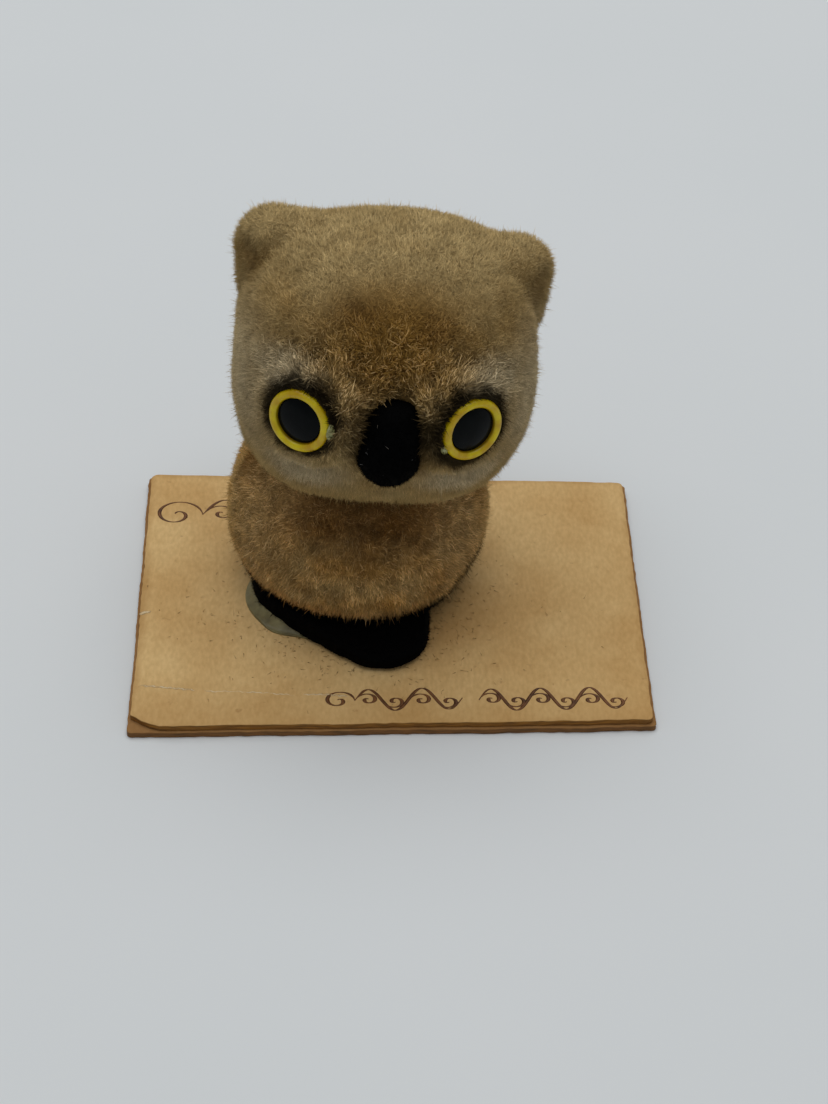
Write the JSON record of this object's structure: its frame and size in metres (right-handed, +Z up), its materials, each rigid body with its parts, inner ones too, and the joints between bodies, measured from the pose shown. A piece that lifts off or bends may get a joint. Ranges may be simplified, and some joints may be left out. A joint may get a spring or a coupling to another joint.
{
  "type": "owl figurine",
  "caption": "Small flocked owl with button eyes, cemented to a rectangular display card that it stands on.",
  "frame": {"origin": "centre of the card's underside, at the centre of the bounding box's bottom face", "axes": "+Z up; +X along the card's long side, to the right of a viewer who looks at the owl's face; the owl faces -Y"},
  "size_m": [0.0508, 0.0392, 0.0422],
  "materials": {
    "backing_board": "brown pulp board, cut edges darkened with age",
    "face_card": "aged tan card with browned edges, brown printed ornaments and foxing",
    "clear_cement": "dried clear craft cement, slightly grey-green",
    "black_flock": "short black electrostatic nylon flock",
    "tan_flock": "tan nylon flock, airbrushed brown on the brow and black round the eyes",
    "styrene": "moulded ivory styrene, hidden under the flock",
    "black_styrene": "moulded black styrene, hidden under the flock",
    "dowel_wood": "plain birch dowel, hidden inside",
    "yellow_eye": "glossy yellow moulded acrylic",
    "black_pupil": "polished black acrylic dome",
    "eye_cement": "yellowed bead of cement"
  },
  "bodies": {
    "root": {"card_backing": "backing_board", "card_face": "face_card", "card_cement": "clear_cement", "foot": "black_styrene", "base_plug": "black_styrene", "black_flock": "black_flock", "body_shell_front": "styrene", "body_shell_rear": "styrene", "body_flock": "tan_flock", "neck_dowel": "dowel_wood", "head_shell_front": "styrene", "head_shell_rear": "styrene", "ear_left": "styrene", "ear_right": "styrene", "head_flock": "tan_flock", "eye_ring_left": "yellow_eye", "eye_ring_right": "yellow_eye", "pupil_left": "black_pupil", "pupil_right": "black_pupil", "nose": "black_styrene", "nose_flock": "black_flock", "eye_cement_left": "eye_cement", "eye_cement_right": "eye_cement"}
  },
  "joints": []
}
